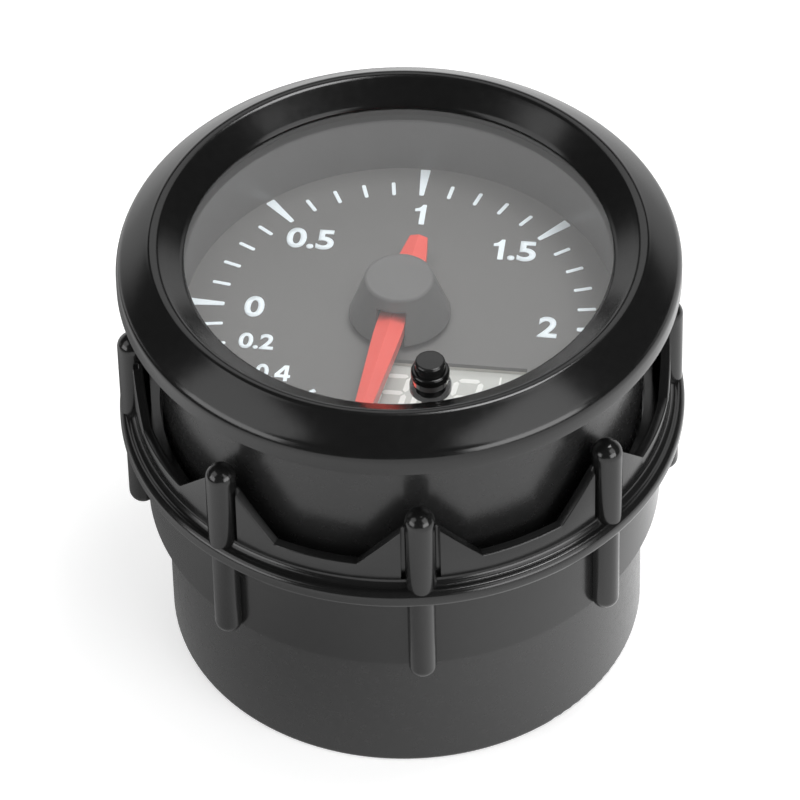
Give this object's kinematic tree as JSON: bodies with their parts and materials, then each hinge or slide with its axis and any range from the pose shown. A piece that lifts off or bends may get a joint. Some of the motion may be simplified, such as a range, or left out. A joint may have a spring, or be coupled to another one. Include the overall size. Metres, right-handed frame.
{
  "type": "boost gauge",
  "caption": "Round panel gauge for boost pressure: black bezel, needle over a lit dial, small display below, mode button, deep case and ribbed clamp ring.",
  "frame": {"origin": "centre of the rear face of the case", "axes": "+Z from the rear face to the dial, -Y towards six o'clock on the dial, +X towards three o'clock"},
  "size_m": [0.0612, 0.0612, 0.0538],
  "materials": {
    "satin_black": "satin moulded",
    "gloss_black": "gloss moulded",
    "clear": "polished",
    "black_rubber": "matt",
    "dark_grey": "matt",
    "dial_grey": "matt printed",
    "mark_white": "printed",
    "white": "satin",
    "pointer_red": "translucent",
    "ivory": "satin",
    "display_grey": "satin",
    "display_glass": "polished",
    "pink_rubber": "matt",
    "switch_red": "satin",
    "steel": "plated",
    "copper_wire": "enamelled winding",
    "pin_metal": "plated",
    "magnet": "matt",
    "board_green": "solder resist",
    "chip_black": "matt",
    "can": "satin",
    "lamp": "satin",
    "cable_grey": "satin"
  },
  "bodies": {
    "gauge": {"housing": "satin_black", "bezel": "gloss_black", "lens": "clear", "lens_gasket": "black_rubber", "dial_surround": "dark_grey", "dial_plate": "dial_grey", "scale_marks": "mark_white", "light_guide": "white", "lcd_frame": "display_grey", "lcd_front_glass": "display_glass", "lcd_rear_glass": "display_glass", "lcd_backlight": "white", "lcd_contact_strips": "pink_rubber", "button_guide": "gloss_black", "switch_body": "dark_grey", "motor_base": "white", "motor_cover": "dark_grey", "motor_stator": "steel", "motor_coils": "copper_wire", "motor_pins": "pin_metal", "main_board": "board_green", "connector_board": "board_green", "board_screws": "steel", "link_screws": "steel", "ribbon_cable": "cable_grey", "ribbon_headers": "ivory", "microcontroller": "chip_black", "driver_chip": "chip_black", "timing_crystal": "steel", "dial_leds": "lamp", "voltage_regulator": "chip_black", "smoothing_capacitor": "can", "power_socket": "ivory", "power_pins": "pin_metal", "sensor_socket": "ivory", "sensor_pins": "pin_metal"},
    "clamp_ring": {"clamp_ring": "gloss_black"},
    "button": {"mode_button": "gloss_black", "switch_actuator": "switch_red"},
    "rotor": {"motor_rotor": "magnet"},
    "idler": {"idler_wheel": "ivory"},
    "pointer": {"needle": "pointer_red", "needle_hub": "dark_grey", "output_wheel": "ivory"}
  },
  "joints": [
    {"name": "rotor_spin", "type": "hinge", "parent": "gauge", "child": "rotor", "pos_m": [0.00099, 0.01241, 0.03], "axis": [0, 0, 1], "range_deg": [-48900, 1400]},
    {"name": "idler_spin", "type": "hinge", "parent": "gauge", "child": "idler", "pos_m": [-0.0054, 0.00794, 0.03], "axis": [0, 0, 1], "range_deg": [-120, 4080]},
    {"name": "needle_sweep", "type": "hinge", "parent": "gauge", "child": "pointer", "pos_m": [0, 0, 0.0435], "axis": [0, 0, 1], "range_deg": [-272, 8]},
    {"name": "button_press", "type": "slide", "parent": "gauge", "child": "button", "axis": [0, 0, -1], "range_m": [0, 0.0005], "stiffness_N_per_m": 2000},
    {"name": "clamp_ring_slide", "type": "slide", "parent": "gauge", "child": "clamp_ring", "axis": [0, 0, 1], "range_m": [-0.0165, 0.0064]}
  ],
  "couplings": [
    {"joint": "idler_spin", "follows": "rotor_spin", "ratio": -0.083333},
    {"joint": "needle_sweep", "follows": "rotor_spin", "ratio": 0.0055556}
  ]
}
